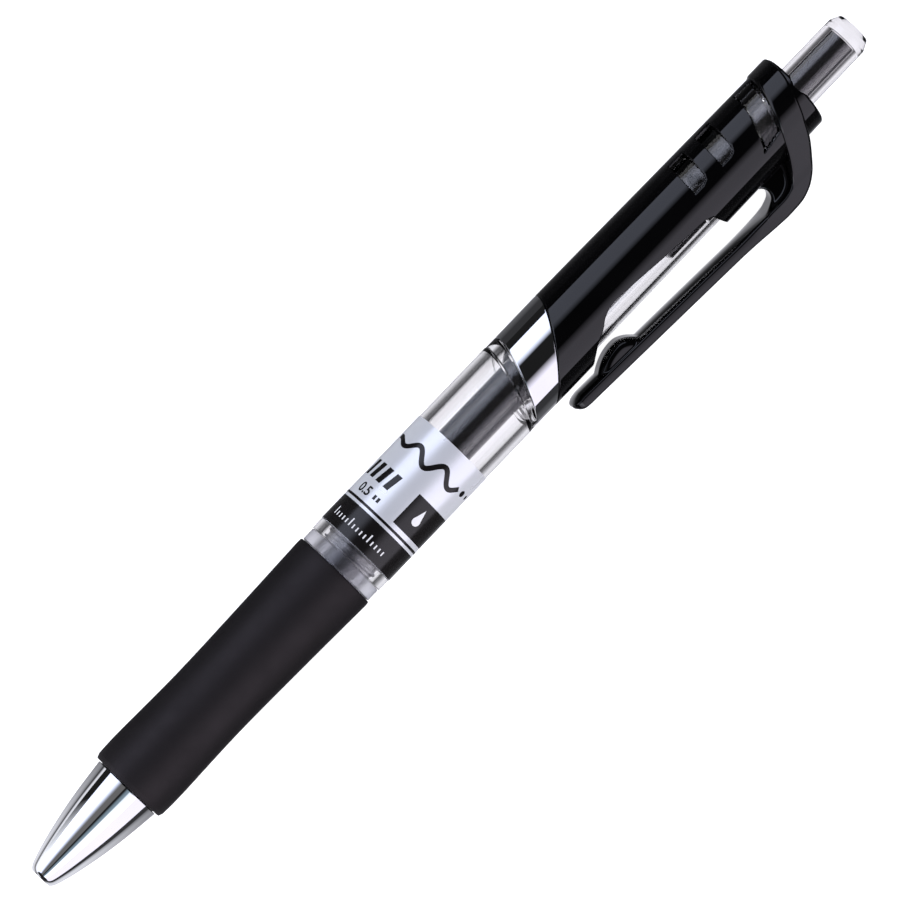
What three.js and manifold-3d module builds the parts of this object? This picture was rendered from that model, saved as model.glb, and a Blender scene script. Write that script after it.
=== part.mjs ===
// A retractable gel pen, modelled piece by piece.
// Millimetres, +Z up. The pen lies on a desk along X with its nose towards -X, rolled until the clip
// touches the desk. Each piece is drawn in the pen's own frame: X runs along the axis from the nose tip,
// the clip points along -Y, and "drop" is the distance from the axis towards the clip.
import * as THREE from 'three';
import { mergeVertices } from 'three/addons/utils/BufferGeometryUtils.js';
import Module from 'manifold-3d';

const wasm = await Module();
wasm.setup();

// ---------------------------------------------------------------- driving dimensions (mm)

const PEN_LENGTH = 142;
const ROUND = 32; // facets round the large pieces
const SMALL_ROUND = 24; // facets round the refill and the mechanism
const FINE_ROUND = 16; // facets round the writing point
const FIT = 0.05; // radial clearance of pieces pushed together
const SEAM = 0.1; // gap left along a joint between two pieces
const DESK_ROLL = THREE.MathUtils.degToRad(21.6); // turn about the axis that brings the clip to the desk

// barrel
const BARREL_R = 5.5;
const BARREL_BORE_R = 4.05;
const BARREL_FRONT_X = 53.25;
const LABEL_FRONT_X = 54.7;
const LABEL_REAR_X = 71.65;
const LABEL_THICKNESS = 0.07;

// grip and nose
const NOSE_LENGTH = 15;
const NOSE_HOLE_R = 1.22;
const NOSE_SHANK_R = 4.18;
const NOSE_SHANK_END_X = 20;
const SPRING_SEAT_X = 5.6;
const GRIP_FRONT_X = 15.1;
const GRIP_REAR_X = 51.15;
const GRIP_TUBE_R = 4.78;
const COLLAR_R = 5.42;
const COLLAR_REAR_X = 52.95;
const SPIGOT_R = 3.95;
const SPIGOT_END_X = 60;
const THREAD_DEPTH = 0.3;
const THREAD_PITCH = 1.1;
const THREAD_TURNS = 3;
const FRONT_BORE_R = 3.15;

// upper half: three slanted joints, each x at the axis and its lean towards the nose per mm of drop
const COLLAR_JOINT = { x: 81.4, lean: 0.322 };
const RING_JOINT = { x: 82.65, lean: 0.4 };
const UPPER_JOINT = { x: 87.8, lean: 0.75 };
const REAR_RIM = { x: 131.7, lean: 0.07 };
const UPPER_BORE_R = 4.45;
const REAR_WALL_X = 129.8;
const BUTTON_HOLE_R = 2.95;
const SLEEVE_R = 4.35;
const SLEEVE_BORE_R = 3.7;
const SLEEVE_SPIGOT_X = 77.9;
const SLEEVE_REAR_X = 129.5;
const WINDOW_PAD_R = 4.9;
const STRAP_R = 5.3;
const BLANK_FRONT_X = 78; // ends of the turned blanks that the slanted joints trim
const BLANK_REAR_X = 133;

// clip
const CLIP_TIP_X = 85.4;
const CLIP_SPLIT_X = 118.7; // where the arm flexes
const CLIP_SPLIT_GAP = 0.2;
const CLIP_ROOT_X = 120.9; // where the arm has run into the strap
const CLIP_HALF_WIDTH = 2;
const CLIP_WEB_HALF_WIDTH = 1.3;
const CLIP_EDGE_RADIUS = 0.45;
const BUMP = { x: 93.65, halfLength: 3.4, height: 1.6, halfWidth: 1.7 };

// push mechanism, retracted
const GUIDE_FRONT_X = 110;
const GUIDE_REAR_X = 116;
const GUIDE_R = 3.05;
const GUIDE_COUNT = 4;
const GUIDE_ANGLE = THREE.MathUtils.degToRad(60);
const ROTOR_FRONT_X = 106.2;
const ROTOR_R = 2.85;
const ROTOR_NOSE_R = 3.3;
const ROTOR_RIB_R = 3.55;
const ROTOR_RIB_HALF_WIDTH = 0.22;
const ROTOR_REST_ANGLE = THREE.MathUtils.degToRad(-9.3);
const TOOTH_COUNT = 8;
const TOOTH_HEIGHT = 0.8;
const ROTOR_REAR_X = 114;
const PUSHER_FRONT_X = 115.9;
const PUSHER_FLANGE_X = 122.4;
const CORE_R = 1.78;
const CORE_END_X = 139.8;
const BUTTON_R = 2.84;
const BUTTON_FACE_R = 2.185;

// refill, retracted
const REFILL_FRONT_X = 21.4;
const REFILL_END_X = 107;
const REFILL_R = 2.55;
const REFILL_BORE_R = 2;
const INK_FRONT_X = 26.2;
const INK_END_X = 88;
const FOLLOWER_END_X = 91.1;
const ADAPTOR_FLANGE_X = 20;
const BALL_R = 0.25;
const BALL_X = 2.02;
const SPRING_WIRE_R = 0.2;
const SPRING_MEAN_R = 2.28;
const SPRING_TURNS = 8;
const SPRING_CLOSED_PITCH = 0.55; // of the first and last turns

// ---------------------------------------------------------------- materials

const material = (color, roughness, metalness, opacity = 1) =>
  new THREE.MeshStandardMaterial({ color, roughness, metalness, opacity, transparent: opacity < 1 });

const CHROME = material(0xd9dbde, 0.08, 1);
const RUBBER = material(0x1b1b1c, 0.75, 0);
const CLEAR = material(0xf2f4f5, 0.06, 0, 0.35);
const FILM = material(0xc9ced6, 0.3, 0.4);
const BLACK_GLOSS = material(0x0c0c0e, 0.08, 0);
const BLACK_PLASTIC = material(0x141416, 0.35, 0);
const INK = material(0x08080a, 0.2, 0);
const GREASE = material(0xe6e1cf, 0.3, 0, 0.6);
const WHITE_PLASTIC = material(0xe8e8e6, 0.4, 0);
const POINT_METAL = material(0xc2b7a0, 0.25, 1);
const HARD_METAL = material(0x8d9094, 0.15, 1);
const SPRING_STEEL = material(0xb4b7ba, 0.25, 1);

// ---------------------------------------------------------------- solids and booleans

// A closed geometry as a solid: seams welded, and the flat slivers at the poles of a lathe left out.
function solid(geometry) {
  const bare = geometry.clone();
  bare.deleteAttribute('normal');
  bare.deleteAttribute('uv');
  const welded = mergeVertices(bare, 1e-4);
  const corners = [];
  for (let i = 0; i < welded.index.count; i += 3) {
    const [a, b, c] = [0, 1, 2].map((k) => welded.index.getX(i + k));
    if (a !== b && b !== c && c !== a) corners.push(a, b, c);
  }
  return new wasm.Manifold(
    new wasm.Mesh({
      numProp: 3,
      vertProperties: new Float32Array(welded.attributes.position.array),
      triVerts: new Uint32Array(corners),
    }),
  );
}

function geometryOf(body) {
  const mesh = body.getMesh();
  const geometry = new THREE.BufferGeometry();
  geometry.setAttribute('position', new THREE.BufferAttribute(mesh.vertProperties, 3));
  geometry.setIndex(new THREE.BufferAttribute(mesh.triVerts, 1));
  geometry.computeVertexNormals();
  return geometry;
}

// Turned solid about the pen's axis. Profile points are [x, radius], listed nose to tail along the outside.
function turned(profile, facets = ROUND) {
  const points = profile.map(([x, r]) => new THREE.Vector2(r, x));
  const lathe = new THREE.LatheGeometry(points, facets);
  return solid(lathe.rotateZ(-Math.PI / 2));
}

const rod = (x0, x1, radius, facets = ROUND) =>
  turned([[x0, 0], [x0, radius], [x1, radius], [x1, 0]], facets);

const tube = (x0, x1, outer, inner, facets = ROUND) =>
  turned([[x0, inner], [x0, outer], [x1, outer], [x1, inner], [x0, inner]], facets);

// Side outline extruded evenly to both sides of the clip's plane. Points are [x, drop].
function sideCut(points, halfWidth) {
  const shape = new THREE.Shape(points.map(([x, drop]) => new THREE.Vector2(x, -drop)));
  const slab = new THREE.ExtrudeGeometry(shape, { depth: 2 * halfWidth, bevelEnabled: false });
  return solid(slab.translate(0, 0, -halfWidth));
}

// Outline seen along the axis, extruded from x0 to x1.
function axialCut(shape, x0, x1, curveSegments = 12) {
  const slab = new THREE.ExtrudeGeometry(shape, { depth: x1 - x0, bevelEnabled: false, curveSegments });
  return solid(slab.rotateY(Math.PI / 2).translate(x0, 0, 0));
}

// Outline on the tangent plane, [x, across], run outwards along the radius and turned about the axis.
function radialCut(points, angle, reach = 6) {
  const shape = new THREE.Shape(points.map(([x, across]) => new THREE.Vector2(x, across)));
  const slab = new THREE.ExtrudeGeometry(shape, { depth: reach, bevelEnabled: false });
  return solid(slab.rotateX(angle));
}

const smooth = (points, count) =>
  new THREE.SplineCurve(points.map(([x, y]) => new THREE.Vector2(x, y)))
    .getPoints(count)
    .map((p) => [p.x, p.y]);

const REACH = 14; // further than any piece stands from the axis

// The same, but only through the side that faces up on the desk.
const upperSideCut = (points) => sideCut(points, REACH).translate([0, 0, REACH]);

const onJoint = (joint, drop, shift) => [joint.x + shift - joint.lean * drop, drop];

// Everything between two slanted joints, with half a seam taken off each side.
function between(front, rear) {
  return sideCut(
    [
      onJoint(front, -REACH, SEAM / 2),
      onJoint(rear, -REACH, -SEAM / 2),
      onJoint(rear, REACH, -SEAM / 2),
      onJoint(front, REACH, SEAM / 2),
    ],
    REACH,
  );
}

const BEFORE_ALL = { x: -50, lean: 0 };
const AFTER_ALL = { x: 250, lean: 0 };

function unite(solids) {
  return solids.reduce((all, one) => all.add(one));
}

const pen = new THREE.Group();

function addPiece(name, body, look) {
  const mesh = new THREE.Mesh(geometryOf(body), look);
  mesh.name = name;
  pen.add(mesh);
}

// ---------------------------------------------------------------- nose and grip

const OGIVE_START = [[0, 1.43], [0.75, 1.95], [3.16, 2.68]];
const OGIVE_END = [[6.78, 3.48], [10.4, 4.08], [NOSE_LENGTH, 4.62]];

function makeNoseCone() {
  return turned([
    [0, NOSE_HOLE_R],
    ...smooth([...OGIVE_START, ...OGIVE_END], 8),
    [NOSE_LENGTH, NOSE_SHANK_R],
    [NOSE_SHANK_END_X, NOSE_SHANK_R],
    [NOSE_SHANK_END_X, FRONT_BORE_R],
    [9, FRONT_BORE_R],
    [7.6, 2.65],
    [SPRING_SEAT_X, 2.65],
    [SPRING_SEAT_X, 2.05],
    [3.2, 2.05],
    [2.8, 1.75],
    [1.7, 1.75],
    [1.1, NOSE_HOLE_R],
    [0, NOSE_HOLE_R],
  ]);
}

// The spigot's thread is a row of ridges, with no helix.
function threadRidges(x0) {
  const ridges = [];
  for (let turn = 0; turn < THREAD_TURNS; turn += 1) {
    const x = x0 + turn * THREAD_PITCH;
    ridges.push([x, SPIGOT_R - THREAD_DEPTH], [x + 0.35 * THREAD_PITCH, SPIGOT_R]);
    ridges.push([x + 0.65 * THREAD_PITCH, SPIGOT_R]);
  }
  return ridges;
}

function makeFrontSection() {
  const counterbore = NOSE_SHANK_END_X + 0.3;
  return turned([
    [15.25, NOSE_SHANK_R + FIT],
    [15.25, GRIP_TUBE_R],
    [GRIP_REAR_X + SEAM, GRIP_TUBE_R],
    [GRIP_REAR_X + SEAM, COLLAR_R - 0.15],
    [GRIP_REAR_X + 0.25, COLLAR_R],
    [COLLAR_REAR_X - 0.25, COLLAR_R],
    [COLLAR_REAR_X, COLLAR_R - 0.3],
    ...threadRidges(COLLAR_REAR_X + 0.4),
    [COLLAR_REAR_X + 0.4 + THREAD_TURNS * THREAD_PITCH, SPIGOT_R - THREAD_DEPTH],
    [SPIGOT_END_X, SPIGOT_R - THREAD_DEPTH],
    [SPIGOT_END_X, FRONT_BORE_R],
    [counterbore, FRONT_BORE_R],
    [counterbore, NOSE_SHANK_R + FIT],
    [15.25, NOSE_SHANK_R + FIT],
  ]);
}

function makeRubberGrip() {
  const inner = GRIP_TUBE_R + FIT;
  const waist = smooth([[15.7, 5.3], [19, 5.36], [29, 5.17], [40, 5.36], [50.5, 5.63]], 7);
  return turned([
    [GRIP_FRONT_X, inner],
    [GRIP_FRONT_X, 5.05],
    ...waist,
    [GRIP_REAR_X - 0.15, 5.54],
    [GRIP_REAR_X, 5.35],
    [GRIP_REAR_X, inner],
    [GRIP_FRONT_X, inner],
  ]);
}

// ---------------------------------------------------------------- barrel

function makeClearBarrel() {
  const front = { x: BARREL_FRONT_X - SEAM / 2, lean: 0 };
  return tube(BARREL_FRONT_X, 90, BARREL_R, BARREL_BORE_R).intersect(between(front, COLLAR_JOINT));
}

function makeLabel() {
  const inner = BARREL_R + 0.03;
  return tube(LABEL_FRONT_X, LABEL_REAR_X, inner + LABEL_THICKNESS, inner);
}

function makeChromeRing() {
  return tube(BLANK_FRONT_X, 96, 5.46, UPPER_BORE_R).intersect(between(RING_JOINT, UPPER_JOINT));
}

// ---------------------------------------------------------------- upper barrel and clip

// The arm's two faces, as drop at x.
const armInner = (x) => 6.58 + 0.032 * (x - CLIP_TIP_X);
const armOuter = (x) => 8.72 + 0.0472 * (x - CLIP_TIP_X);

// Side outlines, each a curve of [x, drop] from the far side towards the clip.
const WINDOW_FRONT = [[125.6, -5.3], [125.2, -3.5], [124.2, -1.35], [123.5, 0.4], [123, 1.2]];
const STRAP_FRONT = [
  [128.7, -5.3], [127.75, -2.85], [126.25, 0.69], [124.8, 4.3],
  [123.2, 6.9], [121.7, 7.75], [120.2, 7.69],
];
const STRAP_REAR = [
  [131.9, -5.3], [131.35, -3.03], [129.6, 1.6], [128.2, 4.9],
  [125.7, 8.4], [123, 10], [120.2, 10.36],
];
const UNDERCUT = [
  [91.2, 4.15], [92.4, 3], [94.2, 1.88], [95.7, 0.8],
  [98.2, 0.4], [106.4, 1.18], [112.3, 1.7],
];
const UNDERCUT_REAR = [[113.2, 2.2], [114.4, 5.2]];
const SLOT_FRONTS = [113.55, 118.3];

// The window ends where the outline meets this drop.
const WINDOW_END_DROP = 0.8;

function windowOutline(inset) {
  const front = smooth(WINDOW_FRONT, 6).map(([x, drop]) => [x + inset, drop]);
  const rear = smooth(STRAP_FRONT, 12)
    .filter(([, drop]) => drop < WINDOW_END_DROP)
    .map(([x, drop]) => [x - inset, drop]);
  const frontEnd = front[front.length - 1];
  const rearEnd = rear[rear.length - 1];
  return [
    [front[0][0], -REACH],
    ...front.slice(0, -1),
    [frontEnd[0], frontEnd[1] - inset],
    [rearEnd[0], rearEnd[1] - inset],
    ...rear.slice(0, -1).reverse(),
    [rear[0][0], -REACH],
  ];
}

// Each slot leans a little towards the nose, with one rounded corner next to the clip's side.
function slotOutline(x) {
  return [[x + 0.4, -5], [x + 2.9, -5], [x + 2.55, -2.4], [x + 2.2, -1.8], [x + 1.5, -1.55], [x, -1.55]];
}

// Seen along the axis, the strap's outside: a circle that runs by two tangents into the width of the arm.
function strapSection() {
  const armDrop = 7.75;
  const armAngle = Math.atan2(CLIP_HALF_WIDTH, armDrop);
  const tangent = armAngle + Math.acos(STRAP_R / Math.hypot(CLIP_HALF_WIDTH, armDrop));
  const shape = new THREE.Shape();
  shape.absarc(0, 0, STRAP_R, -Math.PI / 2 + tangent, 1.5 * Math.PI - tangent, false);
  shape.lineTo(-CLIP_HALF_WIDTH, -armDrop);
  shape.lineTo(-CLIP_HALF_WIDTH, -REACH);
  shape.lineTo(CLIP_HALF_WIDTH, -REACH);
  shape.lineTo(CLIP_HALF_WIDTH, -armDrop);
  return shape;
}

function makeStrap() {
  const front = smooth(STRAP_FRONT, 14);
  const rear = smooth(STRAP_REAR, 14);
  const band = sideCut([...front, ...rear.reverse()], REACH);
  return band.intersect(axialCut(strapSection(), 118, 135));
}

// Arm outline from the split back into the strap, and the thinner web that closes the gap.
function makeClipRoot() {
  const start = CLIP_SPLIT_X + CLIP_SPLIT_GAP / 2;
  const end = CLIP_ROOT_X;
  const arm = armBar([
    [start, armInner(start)],
    [end, armInner(end)],
    [end, armOuter(end)],
    [start, armOuter(start)],
  ]);
  const gapEnd = smooth([[120.2, armInner(120.2) + 0.3], [120.75, 6.9], [120.7, 6], [120.1, 5.5]], 5);
  const behindGap = [[120.1, 4.9], [125, 4.9], [124.5, 6.2], [122, 8.2]];
  return arm.add(sideCut([...gapEnd, ...behindGap], CLIP_WEB_HALF_WIDTH));
}

function makeUpperShell() {
  const front = BLANK_FRONT_X;
  const rear = BLANK_REAR_X;
  return turned([
    [front, UPPER_BORE_R],
    [front, 5.45],
    [92, 5.46],
    [112, 5.24],
    [126, 5.1],
    [131, 5.04],
    [rear, 5.02],
    [rear, BUTTON_HOLE_R],
    [REAR_WALL_X, BUTTON_HOLE_R],
    [REAR_WALL_X, UPPER_BORE_R],
    [front, UPPER_BORE_R],
  ]).intersect(between(UPPER_JOINT, REAR_RIM));
}

function makeUpperBarrel() {
  const blank = unite([makeUpperShell(), makeStrap(), makeClipRoot()]);
  const undercut = [[90.2, REACH], [90.3, 5.6], ...smooth(UNDERCUT, 11), ...UNDERCUT_REAR, [114.6, REACH]];
  const slots = SLOT_FRONTS.map((x) => upperSideCut(slotOutline(x)));
  return blank
    .intersect(between(BEFORE_ALL, REAR_RIM))
    .subtract(sideCut(undercut, REACH))
    .subtract(unite(slots))
    .subtract(upperSideCut(windowOutline(0)))
    .subtract(rod(BLANK_FRONT_X, REAR_WALL_X, UPPER_BORE_R))
    .subtract(rod(REAR_WALL_X - 1, BLANK_REAR_X + 1, BUTTON_HOLE_R));
}

// A bar with this side outline and bevelled long edges.
function armBar(outline) {
  const shape = new THREE.Shape(outline.map(([x, drop]) => new THREE.Vector2(x, -drop)));
  const bar = new THREE.ExtrudeGeometry(shape, {
    depth: 2 * (CLIP_HALF_WIDTH - CLIP_EDGE_RADIUS),
    bevelThickness: CLIP_EDGE_RADIUS,
    bevelSize: CLIP_EDGE_RADIUS,
    bevelOffset: -CLIP_EDGE_RADIUS,
    bevelSegments: 2,
  });
  return solid(bar.translate(0, 0, CLIP_EDGE_RADIUS - CLIP_HALF_WIDTH));
}

function makeClip() {
  const end = CLIP_SPLIT_X - CLIP_SPLIT_GAP / 2;
  const arm = armBar([
    [CLIP_TIP_X + 0.7, armInner(CLIP_TIP_X)],
    [CLIP_TIP_X, 7.3],
    [CLIP_TIP_X + 0.3, 8.3],
    [CLIP_TIP_X + 1.2, armOuter(CLIP_TIP_X + 1.2)],
    [end, armOuter(end)],
    [end, armInner(end)],
  ]);
  const dome = new THREE.SphereGeometry(1, 16, 10);
  dome.scale(BUMP.halfLength, BUMP.height + 0.3, BUMP.halfWidth);
  dome.translate(BUMP.x, -(armInner(BUMP.x) + 0.3), 0);
  const backing = sideCut([[80, -5], [105, -5], [105, 7.4], [80, 7.4]], REACH);
  return arm.add(solid(dome).intersect(backing));
}

// ---------------------------------------------------------------- mechanism

// Part of a ring between two radii, centred on an angle round the axis.
function ringSector(x0, x1, inner, outer, angle, width) {
  const shape = new THREE.Shape();
  const from = angle - width / 2;
  const to = angle + width / 2;
  shape.absarc(0, 0, outer, from, to, false);
  shape.absarc(0, 0, inner, to, from, true);
  return axialCut(shape, x0, x1, 8);
}

function makeMechanismSleeve() {
  const blank = tube(SLEEVE_SPIGOT_X, 90, 5.45, SLEEVE_BORE_R);
  const flange = blank.intersect(between(COLLAR_JOINT, RING_JOINT));
  const spigot = tube(SLEEVE_SPIGOT_X, 84, BARREL_BORE_R - 0.07, 3.4);
  const body = tube(82, SLEEVE_REAR_X, SLEEVE_R, SLEEVE_BORE_R).intersect(between(COLLAR_JOINT, AFTER_ALL));
  const padBlank = tube(120, SLEEVE_REAR_X, WINDOW_PAD_R, SLEEVE_BORE_R);
  const pad = padBlank.intersect(upperSideCut(windowOutline(0.15)));
  const parts = [flange, spigot, body, pad];
  for (let i = 0; i < GUIDE_COUNT; i += 1) {
    const angle = ((i + 0.5) / GUIDE_COUNT) * 2 * Math.PI;
    parts.push(ringSector(GUIDE_FRONT_X, GUIDE_REAR_X, GUIDE_R, SLEEVE_BORE_R + 0.2, angle, GUIDE_ANGLE));
  }
  return unite(parts);
}

// Ring of pointed cam teeth standing on a face at x; height is negative for teeth that point to the nose.
function camTeeth(x, height, inner, outer, turn) {
  const ring = tube(x - 1.5, x + 1.5, outer, inner, SMALL_ROUND);
  const teeth = [];
  const halfWidth = (Math.PI * outer) / TOOTH_COUNT - 0.1;
  for (let i = 0; i < TOOTH_COUNT; i += 1) {
    const outline = [[x, -halfWidth], [x + height, halfWidth * 0.6], [x, halfWidth]];
    const foot = [[x - Math.sign(height) * 0.2, halfWidth], [x - Math.sign(height) * 0.2, -halfWidth]];
    const points = [...outline, ...foot];
    if (height < 0) points.reverse();
    teeth.push(radialCut(points, turn + (i / TOOTH_COUNT) * 2 * Math.PI));
  }
  return unite(teeth).intersect(ring);
}

function makeRotor() {
  const body = turned(
    [
      [ROTOR_FRONT_X + 1, 0],
      [ROTOR_FRONT_X + 1, REFILL_R + 0.2],
      [ROTOR_FRONT_X, REFILL_R + 0.2],
      [ROTOR_FRONT_X, ROTOR_NOSE_R - 0.3],
      [ROTOR_FRONT_X + 0.3, ROTOR_NOSE_R],
      [GUIDE_FRONT_X - 0.6, ROTOR_NOSE_R],
      [GUIDE_FRONT_X - 0.6, ROTOR_R],
      [ROTOR_REAR_X, ROTOR_R],
      [ROTOR_REAR_X, 1.25],
      [ROTOR_REAR_X + 4, 1.25],
      [ROTOR_REAR_X + 4, 0],
    ],
    SMALL_ROUND,
  );
  const band = tube(ROTOR_FRONT_X, ROTOR_REAR_X + 1, ROTOR_RIB_R, ROTOR_R - 0.3, SMALL_ROUND);
  const ribs = [];
  for (let i = 0; i < GUIDE_COUNT; i += 1) {
    const w = ROTOR_RIB_HALF_WIDTH;
    const outline = [[GUIDE_FRONT_X + 0.5, -w], [114.6, -w], [114.1, w], [GUIDE_FRONT_X + 0.5, w]];
    ribs.push(radialCut(outline, ROTOR_REST_ANGLE + (i / GUIDE_COUNT) * 2 * Math.PI));
  }
  const teeth = camTeeth(ROTOR_REAR_X, TOOTH_HEIGHT, 1.6, ROTOR_R, ROTOR_REST_ANGLE);
  return unite([body, unite(ribs).intersect(band), teeth]);
}

function makeButtonCore() {
  const pilot = 1.4;
  const body = turned(
    [
      [PUSHER_FRONT_X, pilot],
      [PUSHER_FRONT_X, ROTOR_R],
      [PUSHER_FLANGE_X, ROTOR_R],
      [PUSHER_FLANGE_X, ROTOR_RIB_R],
      [PUSHER_FLANGE_X + 1.2, ROTOR_RIB_R],
      [PUSHER_FLANGE_X + 1.2, CORE_R],
      [CORE_END_X - 0.2, CORE_R],
      [CORE_END_X, CORE_R - 0.2],
      [CORE_END_X, 0],
      [ROTOR_REAR_X + 4.6, 0],
      [ROTOR_REAR_X + 4.6, pilot],
      [PUSHER_FRONT_X, pilot],
    ],
    SMALL_ROUND,
  );
  return body.add(camTeeth(PUSHER_FRONT_X, -TOOTH_HEIGHT, 1.6, ROTOR_R, 0));
}

function makeButtonShell() {
  const bore = CORE_R + 0.07;
  const flange = REAR_WALL_X - 0.3;
  return turned(
    [
      [CORE_END_X + 0.2, 0],
      [CORE_END_X + 0.2, bore],
      [PUSHER_FLANGE_X + 1.5, bore],
      [PUSHER_FLANGE_X + 1.5, BUTTON_R],
      [flange - 1.2, BUTTON_R],
      [flange - 1.2, ROTOR_RIB_R],
      [flange, ROTOR_RIB_R],
      [flange, BUTTON_R],
      [PEN_LENGTH - 1.28, BUTTON_R],
      [PEN_LENGTH, BUTTON_FACE_R],
      [PEN_LENGTH, 0],
    ],
    SMALL_ROUND,
  );
}

// ---------------------------------------------------------------- refill

function makeTipAdaptor() {
  return turned(
    [
      [8, 0.9],
      [8, 1.35],
      [8.2, 1.5],
      [9.5, 1.5],
      [9.9, 1.9],
      [ADAPTOR_FLANGE_X, 1.9],
      [ADAPTOR_FLANGE_X, 2.5],
      [ADAPTOR_FLANGE_X + 1.2, 2.5],
      [ADAPTOR_FLANGE_X + 1.2, REFILL_BORE_R - FIT],
      [INK_FRONT_X - 0.2, REFILL_BORE_R - FIT],
      [INK_FRONT_X - 0.2, 0.5],
      [11.7, 0.5],
      [11.7, 0.9],
      [8, 0.9],
    ],
    20,
  );
}

function makeTipCone() {
  return turned(
    [
      [1.95, 0.29],
      [1.95, 0.36],
      [4.7, 1.15],
      [7.8, 1.15],
      [7.8, 0.84],
      [11.4, 0.84],
      [11.4, 0.35],
      [3, 0.35],
      [3, 0.16],
      [2.4, 0.16],
      [2.32, 0.29],
      [1.95, 0.29],
    ],
    FINE_ROUND,
  );
}

function makeBall() {
  return solid(new THREE.SphereGeometry(BALL_R, 12, 8).translate(BALL_X, 0, 0));
}

function makeInkFollower() {
  const r = REFILL_BORE_R - FIT;
  const dish = 0.5;
  return turned(
    [
      [INK_END_X + SEAM, 0],
      [INK_END_X + SEAM, r],
      [FOLLOWER_END_X, r],
      [FOLLOWER_END_X - dish, r * 0.6],
      [FOLLOWER_END_X - dish, 0],
    ],
    SMALL_ROUND,
  );
}

// A coil whose first and last turns lie close together, wound about the pen's axis.
class CoilCurve extends THREE.Curve {
  constructor(x0, x1, radius, turns, closedPitch) {
    super();
    Object.assign(this, { x0, x1, radius, turns, closedPitch });
  }

  getPoint(t, target = new THREE.Vector3()) {
    const turn = t * this.turns;
    const openPitch = (this.x1 - this.x0 - 2 * this.closedPitch) / (this.turns - 2);
    const closedStart = Math.min(turn, 1) * this.closedPitch;
    const open = THREE.MathUtils.clamp(turn - 1, 0, this.turns - 2) * openPitch;
    const closedEnd = Math.max(turn - this.turns + 1, 0) * this.closedPitch;
    const angle = 2 * Math.PI * turn;
    const x = this.x0 + closedStart + open + closedEnd;
    return target.set(x, this.radius * Math.cos(angle), this.radius * Math.sin(angle));
  }
}

function makeReturnSpring() {
  const x0 = SPRING_SEAT_X + SPRING_WIRE_R + SEAM;
  const x1 = ADAPTOR_FLANGE_X - SPRING_WIRE_R - SEAM;
  const coil = new CoilCurve(x0, x1, SPRING_MEAN_R, SPRING_TURNS, SPRING_CLOSED_PITCH);
  const wire = new THREE.Shape().absarc(0, 0, SPRING_WIRE_R, 0, 2 * Math.PI, false);
  return solid(
    new THREE.ExtrudeGeometry(wire, {
      extrudePath: coil,
      steps: SPRING_TURNS * 12,
      curveSegments: 3,
      bevelEnabled: false,
    }),
  );
}

// ---------------------------------------------------------------- the pen

addPiece('nose_cone', makeNoseCone(), CHROME);
addPiece('front_section', makeFrontSection(), CLEAR);
addPiece('rubber_grip', makeRubberGrip(), RUBBER);
addPiece('clear_barrel', makeClearBarrel(), CLEAR);
addPiece('barrel_label', makeLabel(), FILM);
addPiece('mechanism_sleeve', makeMechanismSleeve(), CLEAR);
addPiece('chrome_ring', makeChromeRing(), CHROME);
addPiece('upper_barrel', makeUpperBarrel(), BLACK_GLOSS);
addPiece('clip', makeClip(), BLACK_GLOSS);
addPiece('button_shell', makeButtonShell(), CLEAR);
addPiece('button_core', makeButtonCore(), BLACK_PLASTIC);
addPiece('rotor_cam', makeRotor(), BLACK_PLASTIC);
addPiece('refill_tube', tube(REFILL_FRONT_X, REFILL_END_X, REFILL_R, REFILL_BORE_R, SMALL_ROUND), CLEAR);
addPiece('ink_column', rod(INK_FRONT_X, INK_END_X, REFILL_BORE_R - FIT, SMALL_ROUND), INK);
addPiece('ink_follower', makeInkFollower(), GREASE);
addPiece('tip_adaptor', makeTipAdaptor(), WHITE_PLASTIC);
addPiece('tip_cone', makeTipCone(), POINT_METAL);
addPiece('writing_ball', makeBall(), HARD_METAL);
addPiece('return_spring', makeReturnSpring(), SPRING_STEEL);

// Lay the pen down: roll it onto its clip, then bring the middle of its footprint to the origin.
pen.rotation.x = DESK_ROLL;
const gelPen = new THREE.Group();
gelPen.add(pen);
gelPen.updateMatrixWorld(true);
const footprint = new THREE.Box3().setFromObject(gelPen, true);
const middle = footprint.getCenter(new THREE.Vector3());
gelPen.position.set(-middle.x, -middle.y, -footprint.min.z);

export default gelPen;
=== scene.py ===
import math

import bmesh
import bpy
import numpy as np
from mathutils import Matrix, Vector


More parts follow.
